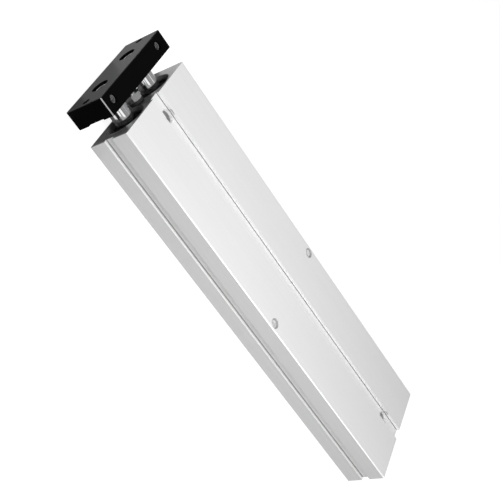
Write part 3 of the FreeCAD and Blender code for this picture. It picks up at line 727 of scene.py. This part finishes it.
FINISHES: tuple[Finish, ...] = (
    ClearAnodised(Slot.HOUSING, "clear_anodised_extrusion", (0.9, 0.9, 0.9), 0.58),
    TurnedAluminium(Slot.COVER, "dark_hard_anodised", (0.06, 0.06, 0.065), 0.4),
    BlackAnodised(Slot.PLATE, "black_anodised_plate", (0.003, 0.003, 0.0031), 0.52),
    HardChrome(Slot.ROD, "hard_chrome", (0.88, 0.88, 0.89), 0.07),
    FormedSteel(Slot.FASTENER, "bright_zinc_steel", (0.85, 0.85, 0.86), 0.14),
    BlackOxide(Slot.SCREW, "black_oxide_screws", (0.09, 0.09, 0.09), 0.42),
    FormedSteel(Slot.SPRING, "phosphated_spring_steel", (0.14, 0.14, 0.145), 0.38),
    Moulded(Slot.SEAL, "black_nitrile", (0.018, 0.018, 0.018), 0.6),
    SinteredBronze(Slot.BUSH, "sintered_bronze", (0.55, 0.38, 0.2), 0.4),
    Moulded(Slot.BUMPER, "black_urethane", (0.03, 0.03, 0.031), 0.38, gloss=0.5),
    Moulded(Slot.RING, "filled_bearing_polymer", (0.26, 0.18, 0.12), 0.5),
    Moulded(Slot.MAGNET, "bonded_ferrite", (0.05, 0.05, 0.055), 0.55, grain=2600.0),
)


class Wardrobe:
    """Holds one material per slot of the record and dresses pieces with it."""

    def __init__(self, finishes: tuple[Finish, ...]) -> None:
        """Builds every finish once."""
        self.materials = {finish.slot: finish.material() for finish in finishes}
        self.slots = {part["node"]: Slot(part["material_slot"]) for part in frame["record"]["subparts"]}

    def dress(self, piece: bpy.types.Object, slot: Slot) -> None:
        """Gives a piece the material of its slot."""
        piece.data.materials.clear()
        piece.data.materials.append(self.materials[slot])

    def dress_node(self, node: str) -> None:
        """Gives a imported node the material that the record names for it."""
        self.dress(frame["nodes"][node], self.slots[node])
        LOG.info("%s: %s", node, self.materials[self.slots[node]].name)

    def finish_piece(self, piece: bpy.types.Object, slot: Slot, body: Body) -> None:
        """Dresses a new piece and lets it ride on its body."""
        self.dress(piece, slot)
        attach(piece, body.value)
        LOG.info("%s: %s, on %s", piece.name, self.materials[slot].name, body.value)


def activate(piece: bpy.types.Object) -> None:
    """Selects one piece alone and makes it the active one."""
    bpy.ops.object.select_all(action="DESELECT")
    piece.select_set(True)
    bpy.context.view_layer.objects.active = piece


def apply_modifier(piece: bpy.types.Object, modifier: bpy.types.Modifier) -> None:
    """Makes a modifier's result the piece's own mesh."""
    activate(piece)
    bpy.ops.object.modifier_apply(modifier=modifier.name)


def combine(piece: bpy.types.Object, tool: bpy.types.Object, operation: str) -> None:
    """Shapes a piece with a tool by UNION, DIFFERENCE or INTERSECT, and removes the tool."""
    blend = piece.modifiers.new("combine", "BOOLEAN")
    blend.operation = operation
    blend.solver = "EXACT"
    blend.object = tool
    apply_modifier(piece, blend)
    bpy.data.objects.remove(tool, do_unlink=True)


def settle(piece: bpy.types.Object, facing: Facing, place: Vector) -> None:
    """Turns a piece made along Z, moves it from the origin to its place and keeps both in its mesh."""
    activate(piece)
    piece.matrix_world = Matrix.Translation(place) @ facing.turn()
    bpy.ops.object.transform_apply(location=True, rotation=True, scale=True)


def smooth(piece: bpy.types.Object, angle: float = 35.0) -> None:
    """Shades a piece smooth, except across edges sharper than an angle in degrees."""
    activate(piece)
    bpy.ops.object.shade_smooth_by_angle(angle=math.radians(angle))


def claim(name: str) -> bpy.types.Object:
    """Names the shape that was just added and keeps its place, turn and scale in its mesh."""
    piece = bpy.context.object
    piece.name = name
    bpy.ops.object.transform_apply(location=True, rotation=True, scale=True)
    return piece


def wind_ridge(name: str, foot_r: float, crest_r: float, pitch: float, turns: int,
               start: float) -> bpy.types.Object:
    """Winds a pointed ridge about Z, closed at both ends.

    Args:
        name: The piece's name.
        foot_r: Radius of the ridge's foot.
        crest_r: Radius of its crest, inside or outside the foot.
        pitch: Rise of one turn.
        turns: Number of whole turns.
        start: Height at which the first turn starts.

    Returns:
        The ridge, as an object at the origin.
    """
    triangle_r = abs(crest_r - foot_r) / 1.5
    lean = math.copysign(math.pi / 2, crest_r - foot_r)
    width = RIDGE_SHARE * pitch
    middle = (foot_r + (crest_r - foot_r) / 3, 0.0, start + width / 2)
    bpy.ops.mesh.primitive_circle_add(vertices=3, radius=triangle_r, location=middle,
                                      rotation=(math.pi / 2, lean, 0.0))
    ridge = claim(name)
    bpy.ops.object.mode_set(mode="EDIT")
    bpy.ops.mesh.select_all(action="SELECT")
    flank = width / (triangle_r * math.sqrt(3.0))
    bpy.ops.transform.resize(value=(1.0, 1.0, flank), center_override=middle)
    bpy.ops.object.mode_set(mode="OBJECT")
    screw = ridge.modifiers.new("wind", "SCREW")
    screw.axis = "Z"
    screw.screw_offset = pitch
    screw.iterations = turns
    screw.steps = screw.render_steps = RIDGE_STEPS
    apply_modifier(ridge, screw)
    bpy.ops.object.mode_set(mode="EDIT")
    bpy.ops.mesh.select_all(action="SELECT")
    bpy.ops.mesh.remove_doubles(threshold=WELD)
    bpy.ops.mesh.fill_holes(sides=4)
    bpy.ops.mesh.select_all(action="SELECT")
    bpy.ops.mesh.normals_make_consistent(inside=False)
    bpy.ops.object.mode_set(mode="OBJECT")
    smooth(ridge)
    return ridge


@dataclass(frozen=True)
class TappedThread:
    """A thread inside holes that are drilled to its core.

    Attributes:
        label: Name of the thread's pieces, followed by the hole's.
        core_r: Radius of the drilled core.
        pitch: Rise of one turn.
        lead: Depth of the chamfer at the mouth.
        depth: Depth at which the thread ends.
        crest: Height of the thread's ridge, as a share of the pitch.
    """

    label: str
    core_r: float
    pitch: float
    lead: float
    depth: float
    crest: float = 0.28

    def fit(self, wardrobe: Wardrobe, slot: Slot, body: Body, facing: Facing,
            mouths: dict[str, Vector]) -> None:
        """Winds the thread once and seats a copy of it in every hole.

        Args:
            wardrobe: Gives the thread its finish.
            slot: The slot of the metal round the holes.
            body: The body that the holes are in.
            facing: The direction in which the holes open.
            mouths: The middle of each hole's mouth, by the hole's name.
        """
        turns = int((self.depth - self.lead) / self.pitch) - 1
        crest_r = self.core_r - self.crest * self.pitch
        pattern = wind_ridge(self.label, self.core_r + CORE_SINK, crest_r, self.pitch, turns, -self.depth)
        for hole, mouth in mouths.items():
            thread = pattern.copy()
            thread.data = pattern.data.copy()
            thread.name = f"{self.label}_{hole}"
            bpy.context.scene.collection.objects.link(thread)
            settle(thread, facing, mouth)
            wardrobe.finish_piece(thread, slot, body)
        bpy.data.objects.remove(pattern, do_unlink=True)


def tapped_pair(name: str, axis: str, level: float) -> tuple[float, dict[str, Vector]]:
    """Finds the core radius of a mount's two holes and their mouths, in a face across an axis."""
    middle, dims = mount(name)
    setattr(middle, axis, level)
    spacing = dims.get("spacing_y_mm") or dims["spacing_x_mm"]
    half = Vector((0.0, spacing * MM / 2, 0.0))
    return dims["hole_r_mm"] * MM, {"left": middle + half, "right": middle - half}


@dataclass(frozen=True)
class Assembly:
    """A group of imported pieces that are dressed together.

    Attributes:
        nodes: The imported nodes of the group.
    """

    nodes: tuple[str, ...]

    def build(self, wardrobe: Wardrobe) -> None:
        """Dresses the group's nodes; a group with new pieces adds them."""
        for node in self.nodes:
            wardrobe.dress_node(node)


@dataclass(frozen=True)
class Housing(Assembly):
    """The twin-bore extrusion with its tapped holes and air ports.

    Attributes:
        tap_pitch: Rise of one turn of the edge taps' thread.
        port_pitch: Rise of one turn of the air ports' pipe thread.
    """

    nodes: tuple[str, ...] = ("housing",)
    tap_pitch: float = 1.25 * MM
    port_pitch: float = 0.907 * MM

    def build(self, wardrobe: Wardrobe) -> None:
        """Dresses the extrusion and winds the threads of its holes."""
        super().build(wardrobe)
        core_r, taps = tapped_pair("edge_taps", "z", AT.height)
        thread = TappedThread("edge_thread", core_r, self.tap_pitch, lead=1.0 * MM, depth=10.6 * MM)
        thread.fit(wardrobe, Slot.HOUSING, Body.HOUSING, Facing.UP, taps)
        ports = {}
        for name in ("front_port", "rear_port"):
            ports[name], dims = mount(name)
            ports[name].y = -AT.half_width
        core_r = dims["r_mm"] * MM
        thread = TappedThread("pipe_thread", core_r, self.port_pitch, lead=0.8 * MM, depth=8.6 * MM)
        thread.fit(wardrobe, Slot.HOUSING, Body.HOUSING, Facing.RIGHT, ports)


@dataclass(frozen=True)
class BoreFittings(Assembly):
    """The covers, bearings, seals, rings and cushions that stay in the bores."""

    nodes: tuple[str, ...] = ("rod_cover_left", "rod_cover_right", "head_cover_left", "head_cover_right",
                              "rod_cover_o_rings", "head_cover_o_rings", "rod_seals", "rod_bushes",
                              "front_retaining_rings", "rear_retaining_rings", "rear_bumpers")


@dataclass(frozen=True)
class Rods(Assembly):
    """The two piston rods with their pistons, rings, magnets, nuts and cushions."""

    nodes: tuple[str, ...] = ("piston_rod_left", "piston_rod_right", "piston_left", "piston_right",
                              "wear_rings", "piston_magnets", "piston_seals", "piston_nuts", "front_bumpers")


@dataclass(frozen=True)
class FrontPlate(Assembly):
    """The black plate that ties the rods together, with its screws and tapped holes.

    Attributes:
        side_pitch: Rise of one turn of the long side's thread.
        front_pitch: Rise of one turn of the front face's thread.
    """

    nodes: tuple[str, ...] = ("front_plate", "plate_screws")
    side_pitch: float = 1.25 * MM
    front_pitch: float = 1.0 * MM

    def build(self, wardrobe: Wardrobe) -> None:
        """Dresses the plate and its screws and winds the threads of its holes."""
        super().build(wardrobe)
        core_r, taps = tapped_pair("plate_side_taps", "z", AT.plate_top)
        thread = TappedThread("plate_side_thread", core_r, self.side_pitch, lead=0.8 * MM, depth=10.6 * MM)
        thread.fit(wardrobe, Slot.PLATE, Body.CARRIAGE, Facing.UP, taps)
        core_r, taps = tapped_pair("plate_front_taps", "x", AT.plate_front)
        thread = TappedThread("plate_front_thread", core_r, self.front_pitch, lead=0.7 * MM, depth=14.0 * MM)
        thread.fit(wardrobe, Slot.PLATE, Body.CARRIAGE, Facing.FRONT, taps)


@dataclass(frozen=True)
class StopAdjuster(Assembly):
    """The stop bolt between the rods, with its lock nut and its soft pad.

    Attributes:
        flats: Width of the bolt's head across its flats.
        head_height: Height of the head.
        crown: How far the head's corners are turned away.
        thread_r: Outer radius of the thread.
        pitch: Rise of one turn of the thread.
        tip: Size of the chamfer at the bolt's end.
        stem_r: Radius of the hole for the pad's stem.
        stem_depth: Depth of that hole.
    """

    nodes: tuple[str, ...] = ("stop_lock_nut", "stop_pad", "stop_bolt")
    flats: float = 13.0 * MM
    head_height: float = 5.3 * MM
    crown: float = 0.5 * MM
    thread_r: float = 3.95 * MM
    pitch: float = 1.25 * MM
    tip: float = 0.8 * MM
    stem_r: float = 2.05 * MM
    stem_depth: float = 3.3 * MM

    def cylinder(self, name: str, radius: float, low: float, high: float, sides: int) -> bpy.types.Object:
        """Adds a bar along Z from low to high, with its radius to the corners of its sides."""
        bpy.ops.mesh.primitive_cylinder_add(vertices=sides, radius=radius, depth=high - low,
                                            location=(0.0, 0.0, (low + high) / 2),
                                            rotation=(0.0, 0.0, math.pi / sides))
        return claim(name)

    def chamfer_end(self, bar: bpy.types.Object, height: float, offset: float) -> None:
        """Chamfers the rim of a bar's end at a given height."""
        activate(bar)
        bpy.ops.object.mode_set(mode="EDIT")
        bpy.ops.mesh.select_mode(type="EDGE")
        bpy.ops.mesh.select_all(action="DESELECT")
        bpy.ops.object.mode_set(mode="OBJECT")
        for edge in bar.data.edges:
            edge.select = all(abs(bar.data.vertices[i].co.z - height) < 0.01 * MM for i in edge.vertices)
        bpy.ops.object.mode_set(mode="EDIT")
        bpy.ops.mesh.bevel(offset=offset, offset_type="OFFSET", segments=1)
        bpy.ops.object.mode_set(mode="OBJECT")

    def make_bolt(self) -> bpy.types.Object:
        """Models the bolt along Z from its head's face: crowned hexagon, stem hole and rolled thread."""
        length = AT.stop_tip - AT.stop_face
        corner_r = self.flats / math.sqrt(3.0)
        bolt = self.cylinder("threaded_stop_bolt", corner_r, 0.0, self.head_height, 6)
        turned = self.cylinder("turned_head", corner_r + 0.1 * MM, 0.0, self.head_height + 1.0 * MM, 96)
        self.chamfer_end(turned, 0.0, 2.0 * self.crown)
        combine(bolt, turned, "INTERSECT")
        root_r = self.thread_r - ROLLED_DEPTH * self.pitch
        shank = self.cylinder("shank", root_r, self.head_height - 0.5 * MM, length, 80)
        self.chamfer_end(shank, length, self.tip)
        turns = int((length - self.tip - self.head_height) / self.pitch) - 1
        ridge = wind_ridge("rolled_thread", root_r - SINK, self.thread_r, self.pitch, turns,
                           self.head_height + 0.2 * self.pitch)
        combine(shank, ridge, "UNION")
        combine(bolt, shank, "UNION")
        stem = self.cylinder("stem_hole", self.stem_r, -1.0 * MM, self.stem_depth, 48)
        combine(bolt, stem, "DIFFERENCE")
        smooth(bolt)
        return bolt

    def build(self, wardrobe: Wardrobe) -> None:
        """Dresses the nut, the pad and the plain bolt, and puts the threaded bolt in its place."""
        super().build(wardrobe)
        bolt = self.make_bolt()
        settle(bolt, Facing.FRONT, Vector((AT.stop_face, 0.0, AT.axis_z)))
        wardrobe.finish_piece(bolt, Slot.FASTENER, Body.STOP_BOLT)
        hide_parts("stop_bolt")


@dataclass(frozen=True)
class SoftBox:
    """A soft lamp of the studio.

    Attributes:
        name: The lamp's name.
        place: Where it stands.
        aim: What it points at.
        width: Its width and height.
        power: Its power in watts.
        mirrored: Whether glossy surfaces show it.
    """

    name: str
    place: Place
    aim: Place
    width: float
    power: float
    mirrored: bool = True

    def build(self) -> None:
        """Adds the lamp, turned to its aim."""
        light = bpy.data.lights.new(self.name, "AREA")
        light.shape = "SQUARE"
        light.size = self.width
        light.energy = self.power
        lamp = bpy.data.objects.new(self.name, light)
        lamp.location = self.place
        lamp.rotation_euler = (Vector(self.aim) - Vector(self.place)).to_track_quat("-Z", "Y").to_euler()
        lamp.visible_glossy = self.mirrored
        bpy.context.scene.collection.objects.link(lamp)


@dataclass(frozen=True)
class ShadeCard:
    """A dark card beside the part that only mirrors show: it draws the dark bands on the chrome.

    Attributes:
        name: The card's name.
        place: Its middle.
        size: Its length along X and its width.
        tilt: How far it is turned up about X, in degrees.
        tone: How light it is.
    """

    name: str
    place: Place
    size: tuple[float, float]
    tilt: float
    tone: float

    def build(self) -> None:
        """Adds the card and hides it from all rays but those of mirrors."""
        turn = (math.radians(self.tilt), 0.0, 0.0)
        bpy.ops.mesh.primitive_plane_add(size=1.0, location=self.place, rotation=turn)
        bpy.context.object.scale = self.size + (1.0,)
        card = claim(self.name)
        material, graph = new_material(self.name)
        shade = graph.signal("ShaderNodeEmission", inputs={"Strength": self.tone})
        graph.node("ShaderNodeOutputMaterial", inputs={"Surface": shade})
        card.data.materials.append(material)
        for rays in ("camera", "diffuse", "transmission", "shadow"):
            setattr(card, f"visible_{rays}", False)


@dataclass(frozen=True)
class Studio:
    """The pale floor, the white surroundings, the soft lamps and the camera.

    Attributes:
        camera_place: Where the camera stands.
        camera_aim: The point in the middle of the picture.
        camera_roll: How far the camera is turned about its own axis, in degrees.
        lens: The lens in millimetres.
        floor_width: Width of the floor.
        floor_colour: Colour of the floor in the lamps' light.
        floor_glow: White that the floor adds where the camera looks at it.
        floor_mirror: White that it adds where a mirror looks at it.
        room_light: Strength of the surroundings as a light.
        lamps: The soft lamps.
        cards: The dark cards.
    """

    camera_place: Place = (0.35133, 0.52124, 0.48596)
    camera_aim: Place = (0.01941, -0.00918, 0.01566)
    camera_roll: float = 74.692
    lens: float = 68.36
    floor_width: float = 12.0
    floor_colour: Colour = (0.35, 0.35, 0.35)
    floor_glow: float = 0.9
    floor_mirror: float = 0.5
    room_light: float = 0.2
    lamps: tuple[SoftBox, ...] = (
        SoftBox("key_box", (0.17, 0.21, 0.57), (0.05, 0.0, 0.02), 0.3, 2.6, mirrored=False),
        SoftBox("side_box", (-0.19, 0.39, 0.26), (-0.12, 0.0, 0.02), 0.4, 0.58),
        SoftBox("front_box", (0.8, 0.1, 0.06), (0.2, 0.0, 0.02), 0.1, 2.2),
    )
    cards: tuple[ShadeCard, ...] = (
        ShadeCard("low_card", (0.499, 0.1, 0.025), (0.702, 0.05), 90.0, 0.02),
        ShadeCard("under_card", (0.1825, -0.003, 0.0005), (0.035, 0.12), 0.0, 0.1),
        ShadeCard("side_card", (0.192, 0.079, 0.0005), (0.03, 0.042), 0.0, 0.12),
        ShadeCard("front_card", (0.24, 0.06, 0.0005), (0.07, 0.07), 0.0, 0.22),
        ShadeCard("front_middle_card", (0.24, 0.0, 0.0005), (0.07, 0.05), 0.0, 0.44),
        ShadeCard("back_wall", (-0.15, -0.4, 0.4), (1.3, 0.8), 90.0, 0.3),
        ShadeCard("near_strip", (0.43, 0.217, 0.207), (0.8, 0.033), -46.0, 0.1),
        ShadeCard("high_strip", (0.43, 0.085, 0.283), (0.8, 0.033), -13.5, 0.1),
        ShadeCard("upper_card", (0.43, -0.02, 0.285), (0.8, 0.18), 0.0, 0.3),
    )

    def build(self) -> None:
        """Sets up the floor, the surroundings, the lamps and the camera."""
        self.lay_floor()
        self.fill_room()
        for thing in self.lamps + self.cards:
            thing.build()
            LOG.info("studio: %s", thing.name)
        self.set_camera()
        bpy.context.scene.view_settings.view_transform = "Standard"

    def seen(self, graph: Graph, by_camera: float, by_mirror: float) -> Signal:
        """Gives one value to rays of the camera, one to rays of mirrors and of glass, and 0 to the others."""
        rays = graph.node("ShaderNodeLightPath")
        names = ("Is Camera Ray", "Is Glossy Ray", "Is Transmission Ray")
        camera, mirror, glass = (Signal(graph, rays.outputs[name]) for name in names)
        return (camera * by_camera).at_least(mirror.at_least(glass) * by_mirror)

    def lay_floor(self) -> None:
        """Lays the floor just under the part; it keeps the part's shadow."""
        bpy.ops.mesh.primitive_plane_add(size=self.floor_width, location=(0.0, 0.0, -FLOOR_DROP))
        floor = bpy.context.object
        floor.name = "studio_floor"
        material, graph = new_material("pale_floor")
        lit = graph.signal("ShaderNodeBsdfDiffuse", inputs={"Color": self.floor_colour + (1.0,)})
        strength = self.seen(graph, self.floor_glow, self.floor_mirror)
        glow = graph.signal("ShaderNodeEmission", inputs={"Strength": strength})
        both = graph.signal("ShaderNodeAddShader", inputs={0: lit, 1: glow})
        graph.node("ShaderNodeOutputMaterial", inputs={"Surface": both})
        floor.data.materials.append(material)
        LOG.info("floor laid")

    def fill_room(self) -> None:
        """Fills the surroundings: white where they are seen, a weaker light elsewhere."""
        world = bpy.data.worlds.new("pale_room")
        world.use_nodes = True
        bpy.context.scene.world = world
        graph = Graph(world.node_tree)
        strength = self.seen(graph, 1.0, 1.0).at_least(self.room_light)
        white = {"Color": (1.0, 1.0, 1.0, 1.0), "Strength": strength}
        room = graph.signal("ShaderNodeBackground", inputs=white)
        graph.node("ShaderNodeOutputWorld", inputs={"Surface": room})

    def set_camera(self) -> None:
        """Places the camera at the viewing angle and makes it the scene's camera."""
        lens = bpy.data.cameras.new("view_camera")
        lens.lens = self.lens
        lens.sensor_width = SENSOR
        camera = bpy.data.objects.new("view_camera", lens)
        bpy.context.scene.collection.objects.link(camera)
        place = Vector(self.camera_place)
        level = (Vector(self.camera_aim) - place).to_track_quat("-Z", "Y").to_matrix()
        roll = Matrix.Rotation(math.radians(self.camera_roll), 3, "Z")
        camera.matrix_world = Matrix.Translation(place) @ (level @ roll).to_4x4()
        bpy.context.scene.camera = camera


def main() -> None:
    """Builds the assemblies and the studio."""
    logging.basicConfig(level=logging.INFO, format="%(name)s: %(message)s")
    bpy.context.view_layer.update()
    wardrobe = Wardrobe(FINISHES)
    for assembly in (Housing(), BoreFittings(), Rods(), FrontPlate(), StopAdjuster()):
        LOG.info("building %s", type(assembly).__name__)
        assembly.build(wardrobe)
    Studio().build()


if __name__ == "__main__":
    main()
